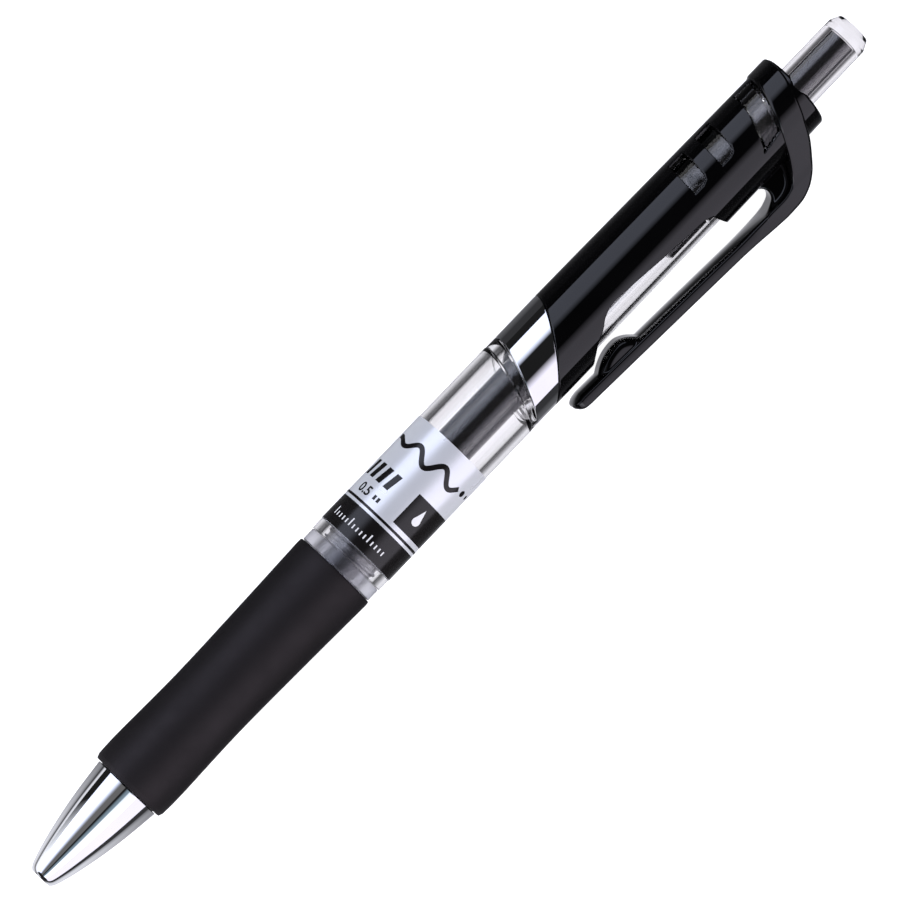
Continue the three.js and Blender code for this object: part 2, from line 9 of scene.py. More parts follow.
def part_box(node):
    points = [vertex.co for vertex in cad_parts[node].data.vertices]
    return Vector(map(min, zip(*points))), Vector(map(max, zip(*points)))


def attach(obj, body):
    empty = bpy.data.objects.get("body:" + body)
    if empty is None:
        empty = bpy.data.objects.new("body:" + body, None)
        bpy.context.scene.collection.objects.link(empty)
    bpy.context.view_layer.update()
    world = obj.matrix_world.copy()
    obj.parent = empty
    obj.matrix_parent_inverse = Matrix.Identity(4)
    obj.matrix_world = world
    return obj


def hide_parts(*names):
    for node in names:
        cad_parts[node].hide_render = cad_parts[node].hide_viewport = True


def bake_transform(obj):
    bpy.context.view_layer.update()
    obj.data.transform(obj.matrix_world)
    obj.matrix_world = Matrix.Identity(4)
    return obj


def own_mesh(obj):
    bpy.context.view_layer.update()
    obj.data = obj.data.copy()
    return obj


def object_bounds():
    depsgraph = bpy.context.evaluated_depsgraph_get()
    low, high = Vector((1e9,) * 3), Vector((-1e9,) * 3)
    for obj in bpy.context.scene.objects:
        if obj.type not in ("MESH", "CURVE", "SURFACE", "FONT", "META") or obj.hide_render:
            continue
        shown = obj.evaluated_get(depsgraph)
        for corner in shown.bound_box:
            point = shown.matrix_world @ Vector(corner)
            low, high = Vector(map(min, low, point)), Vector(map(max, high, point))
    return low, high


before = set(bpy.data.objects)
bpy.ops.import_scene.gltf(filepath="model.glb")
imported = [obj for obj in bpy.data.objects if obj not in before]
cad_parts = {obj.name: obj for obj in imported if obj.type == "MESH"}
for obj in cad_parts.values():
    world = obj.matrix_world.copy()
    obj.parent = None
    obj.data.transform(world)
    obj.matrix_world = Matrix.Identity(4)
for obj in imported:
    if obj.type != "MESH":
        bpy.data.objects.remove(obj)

CAD_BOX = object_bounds()

PEN_LENGTH = 142.0
DESK_ROLL = math.radians(21.6)
ROUND = 192  # segments round the large pieces
FINE_ROUND = 256
SMALL_ROUND = 96
SEAM = 0.1
SHARP_ANGLE = math.radians(38)

# slanted joints: x at the axis, and lean towards the nose per mm of drop
COLLAR_JOINT = (81.4, 0.322)
RING_JOINT = (82.65, 0.4)
UPPER_JOINT = (87.8, 0.75)
REAR_RIM = (131.7, 0.07)

BARREL_R = 5.5
BORE_R = 4.3
UPPER_BORE_R = 4.45
UPPER_BORE_END_X = 129.8
BUTTON_HOLE_R = 2.95
SLEEVE_R = 4.35
SLEEVE_BORE_R = 3.7
PAD_R = 4.9
STRAP_R = 5.3
STRAP_START_R = 4.75
ARM_HALF_WIDTH = 2.0
ARM_DROP = 7.75  # drop of the arm's middle at the strap
ARM_TIP_X = 85.4


def pen_matrix():
    """Places the pen's own frame on the desk: the button gives the axis line and the rear end."""
    lo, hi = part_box("button_shell")
    axis = ((lo + hi) / 2).yz
    start = Matrix.Translation((hi.x - PEN_LENGTH / 1000, axis[0], axis[1]))
    return start @ Matrix.Rotation(DESK_ROLL, 4, "X") @ Matrix.Scale(0.001, 4)


PEN = pen_matrix()


def on_desk(x, drop, z=0.0):
    """A point of the pen's own frame, in the row frame."""
    return PEN @ Vector((x, -drop, z))


# ---------------------------------------------------------------- curves and outlines


def smooth(points, count):
    """A Catmull-Rom curve through points, as count + 1 points."""
    p = np.array(points, float)
    last = len(p) - 1
    t = np.linspace(0, last, count + 1)
    i = np.minimum(t.astype(int), last - 1)
    f = (t - i)[:, None]
    p0, p1, p2, p3 = p[np.maximum(i - 1, 0)], p[i], p[i + 1], p[np.minimum(i + 2, last)]
    v0, v1 = (p2 - p0) / 2, (p3 - p1) / 2
    return (2 * p1 - 2 * p2 + v0 + v1) * f**3 + (-3 * p1 + 3 * p2 - 2 * v0 - v1) * f**2 + v0 * f + p1


def eased(t):
    """0 to 1 with a soft start and end."""
    t = np.clip(t, 0, 1)
    return t * t * (3 - 2 * t)


def centred(turns):
    """How far a number of turns is from the nearest whole turn."""
    return (turns + 0.5) % 1.0 - 0.5


def fillet(profile, radius=0.12, steps=4, least_turn=20):
    """Rounds the corners of a profile. Points are (x, radius, lean); a profile may close on itself."""
    p = [np.array((*q, 0.0)[:3], float) for q in profile]
    closed = np.allclose(p[0], p[-1])
    if closed:
        p = p[:-1]
    out = []
    for i, corner in enumerate(p):
        before, after = p[i - 1], p[(i + 1) % len(p)]
        if not closed and i in (0, len(p) - 1):
            out.append(corner)
            continue
        a, b = before - corner, after - corner
        la, lb = np.hypot(*a[:2]), np.hypot(*b[:2])
        turn = 180 - math.degrees(math.acos(np.clip((a[:2] @ b[:2]) / (la * lb), -1, 1)))
        if turn < least_turn:
            out.append(corner)
            continue
        reach = min(radius, 0.45 * la, 0.45 * lb)
        start, end = corner + a / la * reach, corner + b / lb * reach
        for t in np.linspace(0, 1, steps + 1):
            out.append((1 - t) ** 2 * start + 2 * t * (1 - t) * corner + t**2 * end)
    if closed:
        out.append(out[0])
    return out


def at_joint(joint, r, shift=0.0):
    """A profile point on a slanted joint."""
    return (joint[0] + shift, r, joint[1])


# ---------------------------------------------------------------- pieces


def add_piece(name, verts, faces, look, body, node=None, slot=None, normals=None):
    """A mesh in the pen's own frame becomes a piece that rides on a body and stands for a node."""
    mesh = bpy.data.meshes.new(name)
    mesh.from_pydata([tuple(v) for v in verts], [], [tuple(f) for f in faces])
    mesh.transform(PEN)
    bm = bmesh.new()
    bm.from_mesh(mesh)
    if normals is None:
        bmesh.ops.remove_doubles(bm, verts=bm.verts, dist=1e-8)
        bmesh.ops.recalc_face_normals(bm, faces=bm.faces)
    bm.to_mesh(mesh)
    bm.free()
    mesh.polygons.foreach_set("use_smooth", [True] * len(mesh.polygons))
    piece = bpy.data.objects.new(name, mesh)
    bpy.context.scene.collection.objects.link(piece)
    mesh.materials.append(look)
    if normals is not None:
        turned = np.asarray(normals) @ np.array(PEN.to_3x3().normalized()).T
        mesh.normals_split_custom_set_from_vertices([tuple(n) for n in turned])
    else:
        mesh.set_sharp_from_angle(angle=SHARP_ANGLE)
        weighted = piece.modifiers.new("even_shading", "WEIGHTED_NORMAL")
        weighted.keep_sharp = True
        weighted.weight = 100
    if body:
        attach(piece, body)
    if node:
        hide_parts(node)
    return piece


def revolve(profile, segments=ROUND, warp=None):
    """Vertices and quads of a turned surface; warp may bend x and radius by angle."""
    p = np.array([(*q, 0.0)[:3] for q in profile], float)
    closed = np.allclose(p[0], p[-1])
    if closed:
        p = p[:-1]
    angle = np.linspace(0, 2 * math.pi, segments, endpoint=False)[None, :]
    r = np.repeat(p[:, 1:2], segments, axis=1)
    x = p[:, 0:1] - p[:, 2:3] * r * np.cos(angle)
    if warp:
        x, r = warp(x, r, angle)
    verts = np.stack([x + 0 * angle, -r * np.cos(angle), r * np.sin(angle)], axis=-1).reshape(-1, 3)
    rings = len(p)
    i = np.arange(rings if closed else rings - 1)[:, None]
    j = np.arange(segments)[None, :]
    k, m = (i + 1) % rings, (j + 1) % segments
    quads = np.stack([i * segments + j, k * segments + j, k * segments + m, i * segments + m], axis=-1)
    return verts, quads.reshape(-1, 4).tolist()


def turned_piece(name, profile, look, body, node, slot, segments=ROUND, warp=None, radius=0.12):
    verts, quads = revolve(fillet(profile, radius), segments, warp)
    return add_piece(name, verts, quads, look, body, node, slot)


# ---------------------------------------------------------------- materials


def node_material(name):
    mat = bpy.data.materials.new(name)
    mat.use_nodes = True
    tree = mat.node_tree
    tree.nodes.clear()
    output = tree.nodes.new("ShaderNodeOutputMaterial")
    return mat, tree, output


def noise(tree, scale, detail=3.0, stretch=(1, 1, 1)):
    """Noise over the piece's own coordinates, in metres; stretch slows it along an axis."""
    coords = tree.nodes.new("ShaderNodeTexCoord")
    mapping = tree.nodes.new("ShaderNodeMapping")
    mapping.inputs["Scale"].default_value = stretch
    texture = tree.nodes.new("ShaderNodeTexNoise")
    texture.inputs["Scale"].default_value = scale
    texture.inputs["Detail"].default_value = detail
    tree.links.new(coords.outputs["Object"], mapping.inputs["Vector"])
    tree.links.new(mapping.outputs["Vector"], texture.inputs["Vector"])
    return texture.outputs["Fac"]


def remap(tree, value, low, high, start=0.3, end=0.7):
    node = tree.nodes.new("ShaderNodeMapRange")
    node.inputs["From Min"].default_value = start
    node.inputs["From Max"].default_value = end
    node.inputs["To Min"].default_value = low
    node.inputs["To Max"].default_value = high
    tree.links.new(value, node.inputs["Value"])
    return node.outputs["Result"]


def combine(tree, operation, first, second):
    node = tree.nodes.new("ShaderNodeMath")
    node.operation = operation
    tree.links.new(first, node.inputs[0])
    tree.links.new(second, node.inputs[1])
    return node.outputs["Value"]


def two_tones(tree, value, dark, light):
    ramp = tree.nodes.new("ShaderNodeValToRGB")
    ramp.color_ramp.elements[0].position = 0.3
    ramp.color_ramp.elements[0].color = (*dark, 1)
    ramp.color_ramp.elements[1].position = 0.7
    ramp.color_ramp.elements[1].color = (*light, 1)
    tree.links.new(value, ramp.inputs["Fac"])
    return ramp.outputs["Color"]


def bumped(tree, value, shader, distance):
    bump = tree.nodes.new("ShaderNodeBump")
    bump.inputs["Distance"].default_value = distance
    tree.links.new(value, bump.inputs["Height"])
    tree.links.new(bump.outputs["Normal"], shader.inputs["Normal"])


def surface(name, dark, light, roughness, grain_scale, grain_mm, metallic=0.0, patch_scale=120, **sockets):
    """An opaque finish: two close tones in patches, uneven roughness and a fine grain."""
    mat, tree, output = node_material(name)
    shader = tree.nodes.new("ShaderNodeBsdfPrincipled")
    shader.inputs["Metallic"].default_value = metallic
    for socket, value in sockets.items():
        shader.inputs[socket.replace("_", " ")].default_value = value
    patches = noise(tree, patch_scale)
    tree.links.new(two_tones(tree, patches, dark, light), shader.inputs["Base Color"])
    tree.links.new(remap(tree, noise(tree, patch_scale * 3), *roughness), shader.inputs["Roughness"])
    bumped(tree, noise(tree, grain_scale, 2), shader, grain_mm / 1000)
    tree.links.new(shader.outputs["BSDF"], output.inputs["Surface"])
    return mat


STYRENE_IOR = 1.5


def clear_plastic(name, tint, roughness=(0.0, 0.01), ripple_mm=0.0003):
    """Clear moulded plastic. Light on its way to a matt surface passes straight through it."""
    mat, tree, output = node_material(name)
    shader = tree.nodes.new("ShaderNodeBsdfPrincipled")
    shader.inputs["Base Color"].default_value = (*tint, 1)
    shader.inputs["Transmission Weight"].default_value = 1.0
    shader.inputs["IOR"].default_value = STYRENE_IOR
    tree.links.new(remap(tree, noise(tree, 900), *roughness), shader.inputs["Roughness"])
    bumped(tree, noise(tree, 260, 1, (0.25, 1, 1)), shader, ripple_mm / 1000)
    passing = tree.nodes.new("ShaderNodeBsdfTransparent")
    passing.inputs["Color"].default_value = (*[0.5 + t / 2 for t in tint], 1)
    path = tree.nodes.new("ShaderNodeLightPath")
    straight = combine(tree, "MAXIMUM", path.outputs["Is Shadow Ray"], path.outputs["Is Diffuse Ray"])
    mix = tree.nodes.new("ShaderNodeMixShader")
    tree.links.new(straight, mix.inputs["Fac"])
    tree.links.new(shader.outputs["BSDF"], mix.inputs[1])
    tree.links.new(passing.outputs["BSDF"], mix.inputs[2])
    tree.links.new(mix.outputs["Shader"], output.inputs["Surface"])
    return mat


CHROME = surface("chrome", (0.86, 0.87, 0.89), (0.92, 0.93, 0.94), (0.015, 0.05), 700, 0.0002, metallic=1.0)
RUBBER = surface(
    "grip_rubber_matt", (0.0052, 0.0048, 0.0054), (0.0066, 0.0062, 0.007), (0.5, 0.6), 5200, 0.006,
    Specular_IOR_Level=0.38, Specular_Tint=(1.0, 0.88, 0.9, 1),
)
BLACK_GLOSS = surface(
    "piano_black", (0.0012, 0.0012, 0.0014), (0.0022, 0.0021, 0.0023), (0.02, 0.06), 600, 0.0003, IOR=1.5
)
BLACK_PLASTIC = surface("core_black", (0.004, 0.004, 0.005), (0.008, 0.008, 0.009), (0.12, 0.2), 1500, 0.001)
CLEAR = clear_plastic("clear_styrene", (0.985, 0.978, 0.975))
CLEAR_FROSTED = clear_plastic("clear_frosted", (0.93, 0.93, 0.97), (0.3, 0.36))
CLEAR_BUTTON = clear_plastic("clear_button", (0.985, 0.968, 0.97))
CLEAR_REFILL = clear_plastic("clear_refill", (0.95, 0.965, 0.99), (0.02, 0.06), 0.001)
INK = surface("gel_ink_black", (0.002, 0.002, 0.003), (0.004, 0.004, 0.006), (0.03, 0.08), 400, 0.0005)
GREASE = surface("follower_grease", (0.62, 0.6, 0.52), (0.72, 0.7, 0.62), (0.2, 0.3), 500, 0.003)
FILM = surface(
    "silver_film", (0.84, 0.86, 0.9), (0.88, 0.9, 0.94), (0.27, 0.33), 4200, 0.0006,
    metallic=0.42, patch_scale=60, Coat_Weight=0.6, Coat_Roughness=0.06,
)
PRINT_BLACK = surface(
    "printed_black", (0.007, 0.006, 0.006), (0.01, 0.009, 0.009), (0.16, 0.22), 3600, 0.0008
)
PRINT_WHITE = surface("printed_white", (0.78, 0.78, 0.79), (0.84, 0.84, 0.85), (0.3, 0.4), 3600, 0.0008)
WHITE_PLASTIC = surface("adaptor_white", (0.74, 0.74, 0.73), (0.8, 0.8, 0.79), (0.3, 0.42), 1200, 0.002)
POINT_METAL = surface(
    "point_nickel", (0.6, 0.55, 0.45), (0.7, 0.66, 0.56), (0.15, 0.28), 2600, 0.0008, metallic=1.0
)
CARBIDE = surface(
    "ball_carbide", (0.4, 0.41, 0.43), (0.5, 0.51, 0.53), (0.1, 0.2), 9000, 0.0002, metallic=1.0
)
STEEL = surface("spring_steel", (0.5, 0.5, 0.5), (0.62, 0.62, 0.62), (0.18, 0.32), 3000, 0.001, metallic=1.0)

# ---------------------------------------------------------------- nose and grip

NOSE_CURVE = [(0, 1.43), (0.75, 1.95), (3.16, 2.68), (6.78, 3.48), (10.4, 4.08), (15, 4.62)]
SHANK_R = 4.18
TUBE_BORE_R = 3.15
turned_piece(
    "nose_plated",
    [(0, 1.22), *smooth(NOSE_CURVE, 60), (15, SHANK_R), (20, SHANK_R), (20, TUBE_BORE_R), (9, TUBE_BORE_R),
     (7.6, 2.65), (5.6, 2.65), (5.6, 2.05), (3.2, 2.05), (2.8, 1.75), (1.7, 1.75), (1.1, 1.22), (0, 1.22)],
    CHROME, "barrel", "nose_cone", "chrome_plate", radius=0.1,
)

WAIST = [(15.7, 5.3), (19, 5.36), (29, 5.17), (40, 5.36), (50.5, 5.63)]
GRIP_BORE_R = 4.83
turned_piece(
    "grip_rubber",
    [(15.1, GRIP_BORE_R), (15.1, 5.08), *smooth(WAIST, 48), (51.15, 5.6), (51.15, GRIP_BORE_R),
     (15.1, GRIP_BORE_R)],
    RUBBER, "barrel", "rubber_grip", "grip_rubber", radius=0.22,
)

THREAD = (53.35, 56.8)  # from and to
THREAD_PITCH = 1.1
THREAD_DEPTH = 0.3
SPIGOT_R = 3.65
TUBE_R = 4.78


def screw_thread(x, r, angle):
    """A helical ridge on the spigot's outside."""
    inside = (x > THREAD[0]) & (x < THREAD[1]) & (r > 3.4)
    phase = ((x - THREAD[0]) / THREAD_PITCH + angle / (2 * math.pi)) % 1.0
    ridge = np.clip(1.6 - np.abs(phase - 0.5) * 5.5, 0, 1)
    return x + 0 * angle, np.where(inside, SPIGOT_R + THREAD_DEPTH * ridge, r)


turned_piece(
    "front_tube",
    [(15.25, 4.23), (15.25, TUBE_R), (51.25, TUBE_R), (51.25, 5.4), (52.95, 5.4), (52.95, SPIGOT_R),
     *[(x, SPIGOT_R) for x in np.linspace(53.0, 57.2, 72)],
     (60, SPIGOT_R), (60, TUBE_BORE_R), (20.3, TUBE_BORE_R), (20.3, 4.23), (15.25, 4.23)],
    CLEAR_FROSTED, "barrel", "front_section", "clear_plastic", warp=screw_thread, radius=0.14,
)

# ---------------------------------------------------------------- barrel

BARREL_FRONT = 53.04
turned_piece(
    "barrel_tube",
    [(BARREL_FRONT, BORE_R), (BARREL_FRONT, BARREL_R), at_joint(COLLAR_JOINT, BARREL_R, -SEAM / 2),
     at_joint(COLLAR_JOINT, BORE_R, -SEAM / 2), (BARREL_FRONT, BORE_R)],
    CLEAR, "barrel", "clear_barrel", "clear_plastic", radius=0.06,
)

LABEL_R = 5.57
LABEL_BORE_R = LABEL_R - 0.04
LABEL_FRONT, LABEL_REAR = 54.7, 71.65
turned_piece(
    "label_film",
    [(LABEL_FRONT, LABEL_BORE_R), (LABEL_FRONT, LABEL_R), (LABEL_REAR, LABEL_R), (LABEL_REAR, LABEL_BORE_R),
     (LABEL_FRONT, LABEL_BORE_R)],
    FILM, "barrel", "barrel_label", "label_film", segments=FINE_ROUND, radius=0.01,
)

RING_R = 5.46
turned_piece(
    "chrome_band",
    [at_joint(RING_JOINT, UPPER_BORE_R, SEAM / 2), at_joint(RING_JOINT, RING_R, SEAM / 2),
     at_joint(UPPER_JOINT, RING_R, -SEAM / 2), at_joint(UPPER_JOINT, UPPER_BORE_R, -SEAM / 2),
     at_joint(RING_JOINT, UPPER_BORE_R, SEAM / 2)],
    CHROME, "barrel", "chrome_ring", "chrome_plate", radius=0.14,
)

# ---------------------------------------------------------------- outlines of the upper half

WINDOW_FRONT = [(125.6, -5.3), (125.2, -3.5), (124.2, -1.35), (123.5, 0.4), (123.0, 1.2)]
STRAP_FRONT = [
    (128.7, -5.3), (127.75, -2.85), (126.25, 0.69), (124.8, 4.3), (123.2, 6.9), (121.7, 7.75), (120, 7.9),
]
STRAP_REAR = [
    (131.9, -5.3), (131.35, -3.03), (129.6, 1.6), (128.2, 4.9), (125.7, 8.3), (123.2, 9.8), (120.2, 10.08),
]
UNDERCUT = [(91.2, 4.15), (92.4, 3), (94.2, 1.88), (95.7, 0.8), (98.2, 0.4), (106.4, 1.18), (112.3, 1.7)]
WINDOW_END_DROP = 0.8
SLOT_FRONTS = (113.55, 118.3)
FAR = 14.0


def window_outline(inset):
    front = smooth(WINDOW_FRONT, 24) + (inset, 0)
    rear = smooth(STRAP_FRONT, 48)
    rear = rear[rear[:, 1] < WINDOW_END_DROP] - (inset, 0)
    front[-1, 1] -= inset
    rear[-1, 1] -= inset
    return [(front[0][0], -FAR), *front, *rear[::-1], (rear[0][0], -FAR)]


def slot_outline(x):
    return [(x + 0.4, -5), (x + 2.9, -5), (x + 2.55, -2.4), (x + 2.2, -1.8), (x + 1.5, -1.55), (x, -1.55)]


def arm_inner(x):
    along = x - ARM_TIP_X
    return 6.56 + 0.03 * along + 0.0003 * along**2


def arm_outer(x):
    return 8.6 + 0.0427 * (x - ARM_TIP_X)


def arm_middle(x):
    return (arm_inner(x) + arm_outer(x)) / 2


def clip_outline():
    """The clip from the side: round the arm's tip, along its outer line, over the strap and back."""
    tip = [(87, arm_inner(87)), (86.1, 6.78), (85.42, 7.08), (85.3, 7.5), (85.58, 7.95), (85.95, 8.33),
           (86.45, 8.57), (87.2, arm_outer(87.2))]
    outer = [(x, arm_outer(x)) for x in np.linspace(90, 117, 10)]
    inner = [(x, arm_inner(x)) for x in np.linspace(118, 90, 10)]
    rear, front = smooth(STRAP_REAR[::-1], 60), smooth(STRAP_FRONT, 60)
    return [*smooth(tip, 40), *outer, *rear, *front, *inner]


def outline_distance(x, drop, outline):
    """Signed distance from points to a closed outline, negative inside."""
    p = np.array(outline, float)
    best = np.full(np.shape(x), 1e9)
    inside = np.zeros(np.shape(x), bool)
    for (ax, ay), (bx, by) in zip(p, np.roll(p, -1, axis=0)):
        ex, ey = bx - ax, by - ay
        wx, wy = x - ax, drop - ay
        t = np.clip((wx * ex + wy * ey) / max(ex * ex + ey * ey, 1e-12), 0, 1)
        best = np.minimum(best, (wx - ex * t) ** 2 + (wy - ey * t) ** 2)
        crosses = (ay > drop) != (by > drop)
        inside ^= crosses & (wx < ex * wy / (ey if ey else 1e-12))
    return np.where(inside, -1, 1) * np.sqrt(best)


# ---------------------------------------------------------------- inner sleeve

COLLAR_R = 5.45
SLEEVE_END_X = 129.5
PAD_FROM_X = 119
PAD_GAP = 0.15
PAD_EDGE = 0.14
GUIDES = (113, 116.1)  # from and to
GUIDE_R = 3.05


def guides_and_pad(x, r, angle):
    """Four guide ribs in the bore, and the raised pad that fills the window."""
    x = x + 0 * angle
    outside = (np.abs(r - SLEEVE_R) < 0.15) & (x > PAD_FROM_X)
    depth = -outline_distance(x, r * np.cos(angle), window_outline(PAD_GAP)) - FAR * (np.sin(angle) < 0)
    r = np.where(outside, r + (PAD_R - SLEEVE_R) * eased(depth / PAD_EDGE), r)
    groove = np.abs(centred(angle / (math.pi / 2))) > 1 / 6
    bore = (r < SLEEVE_BORE_R + 0.1) & (x > GUIDES[0]) & (x < GUIDES[1])
    return x, np.where(bore & ~groove, GUIDE_R, r)


def make_sleeve():
    plain, under_pad = np.linspace(90, 120, 9), np.linspace(120.1, 129.4, 90)
    profile = [
        at_joint(COLLAR_JOINT, SLEEVE_BORE_R, SEAM / 2), at_joint(COLLAR_JOINT, COLLAR_R, SEAM / 2),
        at_joint(RING_JOINT, COLLAR_R, -SEAM / 2), at_joint(RING_JOINT, SLEEVE_R, -SEAM / 2),
        *[(x, SLEEVE_R) for x in (*plain, *under_pad)],
        (SLEEVE_END_X, SLEEVE_R), (SLEEVE_END_X, SLEEVE_BORE_R),
        (116.2, SLEEVE_BORE_R), (116.05, SLEEVE_BORE_R), (113.05, SLEEVE_BORE_R), (112.9, SLEEVE_BORE_R),
        at_joint(COLLAR_JOINT, SLEEVE_BORE_R, SEAM / 2),
    ]
    turned_piece(
        "inner_sleeve", profile, CLEAR, "barrel", "mechanism_sleeve", "clear_plastic",
        segments=FINE_ROUND, warp=guides_and_pad, radius=0.06,
    )


make_sleeve()

# ---------------------------------------------------------------- moulded upper half, from distance fields


def cut(a, b, k):
    """Where two fields are both inside, with a convex edge of radius k."""
    return np.minimum(np.maximum(a, b), -k) + np.hypot(np.maximum(a + k, 0), np.maximum(b + k, 0))


def join(a, b, k):
    """Where either field is inside, with a hollow fillet of radius k."""
    return np.maximum(np.minimum(a, b), k) - np.hypot(np.maximum(k - a, 0), np.maximum(k - b, 0))


class SideField:
    """The distance to side outlines, tabulated over x and drop."""

    STEP = 0.04

    def __init__(self, *outlines):
        self.low = np.array((82.0, -7.5))
        x = np.arange(82.0, 134.0, self.STEP)
        drop = np.arange(-7.5, 13.0, self.STEP)
        gx, gd = np.meshgrid(x, drop, indexing="ij")
        self.table = np.min([outline_distance(gx, gd, o) for o in outlines], axis=0)

    def __call__(self, x, drop):
        u = np.clip((x - self.low[0]) / self.STEP, 0, self.table.shape[0] - 1.001)
        v = np.clip((drop - self.low[1]) / self.STEP, 0, self.table.shape[1] - 1.001)
        i, j = u.astype(int), v.astype(int)
        f, g = u - i, v - j
        t = self.table
        near = t[i, j] * (1 - f) + t[i + 1, j] * f
        return near * (1 - g) + (t[i, j + 1] * (1 - f) + t[i + 1, j + 1] * f) * g


def plane(x, drop, joint, shift):
    """Distance past a slanted joint towards the rear."""
    return (x - (joint[0] + shift - joint[1] * drop)) / math.hypot(1, joint[1])


TAPER = smooth([(78, 5.45), (92, 5.46), (112, 5.24), (126, 5.1), (131, 5.04), (133, 5.02)], 120)
OPENINGS = SideField(*[slot_outline(x) for x in SLOT_FRONTS], window_outline(0))
HOLLOW = SideField(
    [(90.2, FAR), (90.3, 5.6), *smooth(UNDERCUT, 60), (113.2, 2.2), (114.4, 5.2), (114.6, FAR)]
)
CLIP_SIDE = SideField(clip_outline())
WEB = SideField([
    *smooth([(118.2, 8.3), (119.2, 7.6), (120.2, 7.05), (120.55, 6.3), (120.3, 5.6), (119.6, 5.15)], 30),
    (119.6, 4.7), (125, 4.7), (124.5, 6.2), (122, 8.2),
])
BUMP = SideField([
    *smooth([(89.6, 7.2), (90.05, 6.8), (90.9, 6.25), (91.8, 5.82), (92.7, 5.53), (93.7, 5.38), (94.6, 5.4),
             (95.3, 5.63), (96.1, 6.15), (96.9, 6.95), (97.2, 7.3)], 60),
    (97.2, 8.2), (89.6, 8.2),
])
NOTCH_ANGLE = math.radians(107)


def rim_notch(x, drop, z):
    """A shallow scallop in the rear rim."""
    radius, depth = 2.22, 0.42
    across = drop * math.sin(NOTCH_ANGLE) + z * -math.cos(NOTCH_ANGLE)
    outwards = drop * math.cos(NOTCH_ANGLE) + z * math.sin(NOTCH_ANGLE)
    scoop = np.hypot(x - (REAR_RIM[0] - depth + radius), across) - radius
    return np.maximum(scoop, 2.0 - outwards)


def upper_shell(x, drop, z):
    r = np.hypot(drop, z)
    body = cut(r - np.interp(x, TAPER[:, 0], TAPER[:, 1]), -plane(x, drop, UPPER_JOINT, SEAM / 2), 0.12)
    body = cut(body, plane(x, drop, REAR_RIM, -SEAM / 2), 0.4)
    body = cut(body, -HOLLOW(x, drop), 0.12)
    body = cut(body, -np.maximum(OPENINGS(x, drop), -z), 0.12)
    body = cut(body, -rim_notch(x, drop, z), 0.1)
    bore = np.minimum(np.maximum(r - UPPER_BORE_R, x - UPPER_BORE_END_X), r - BUTTON_HOLE_R)
    return cut(body, -bore, 0.08)


def arm_width(x, drop):
    """Half the arm's width: narrowed round its tip, wider on its inner side near the strap."""
    tip, root = np.clip((86.6 - x) / 1.3, 0, 1), eased((x - 115) / 8)
    return ARM_HALF_WIDTH - 0.9 * tip**2 + 0.32 * root * np.clip(10.0 - drop, 0, 2.3)


def strap_section(x, drop, z):
    """A circle that runs by two tangents into the width of the arm, whose sides are crowned."""
    width = arm_width(x, ARM_DROP)
    tangent = np.arctan2(width, ARM_DROP) + np.arccos(STRAP_R / np.hypot(width, ARM_DROP))
    side = drop * np.cos(tangent) + np.abs(z) * np.sin(tangent) - STRAP_R
    wide = np.where(np.arctan2(np.abs(z), drop) < tangent, side, np.hypot(drop, z) - STRAP_R)
    wide = np.maximum(wide, (118.5 - x) / 2)
    crown = 0.08 * (drop - arm_middle(x)) ** 2 * (1 - eased((x - 112) / 8))
    return join(wide, np.maximum(np.abs(z) - arm_width(x, drop) + crown, 6.0 - drop), 0.4)


def clip_side(x, drop, z):
    """The side outline, drawn in towards the middle of the arm away from its centre line."""
    middle = arm_middle(x)
    crown = 0.13 * z**2 * (1 - eased((x - 112) / 8))
    return CLIP_SIDE(x, middle + (drop - middle) * (1 + crown))


def strap_and_clip(x, drop, z):
    body = cut(clip_side(x, drop, z), strap_section(x, drop, z), 0.42)
    body = cut(body, plane(x, drop, REAR_RIM, -SEAM / 2), 0.3)
    body = cut(body, STRAP_START_R - np.hypot(drop, z), 0.05)
    bump = cut(BUMP(x, drop), np.abs(z) - 1.75, 1.1)
    web = cut(WEB(x, drop), np.abs(z) - (0.7 + 0.45 * (drop - 5.5)), 0.4)
    return join(join(body, bump, 0.15), web, 0.5)


def gradient(field, p, step=0.08):
    parts = []
    for axis in range(3):
        shift = np.zeros(3)
        shift[axis] = step
        parts.append(field(*(p + shift).T) - field(*(p - shift).T))
    return np.stack(parts, axis=-1) / (2 * step)


